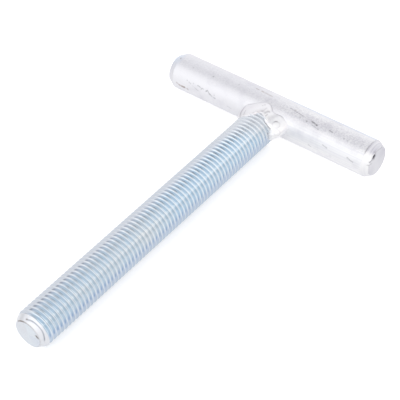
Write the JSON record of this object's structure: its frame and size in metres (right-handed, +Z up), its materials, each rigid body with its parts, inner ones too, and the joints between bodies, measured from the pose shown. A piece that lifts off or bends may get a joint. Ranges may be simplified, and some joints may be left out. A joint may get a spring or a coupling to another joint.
{
  "type": "anchor bolt",
  "caption": "T-shaped anchor bolt: a zinc-plated threaded rod welded end-on to the middle of a short round steel cross bar.",
  "frame": {"origin": "on the surface the bolt lies on, under the middle of its overall length and width", "axes": "+X along the cross bar, -Y along the rod towards its free end, +Z up as the bolt lies"},
  "size_m": [0.103, 0.158, 0.0167],
  "materials": {
    "bar_steel": "bright drawn steel with fine lengthwise scratches and specks of rust",
    "rod_zinc": "bright zinc plating with a pale blue tint",
    "weld_steel": "smooth bare weld metal with round craters"
  },
  "bodies": {
    "root": {"cross_bar": "bar_steel", "threaded_rod": "rod_zinc", "weld_bead": "weld_steel"}
  },
  "joints": []
}
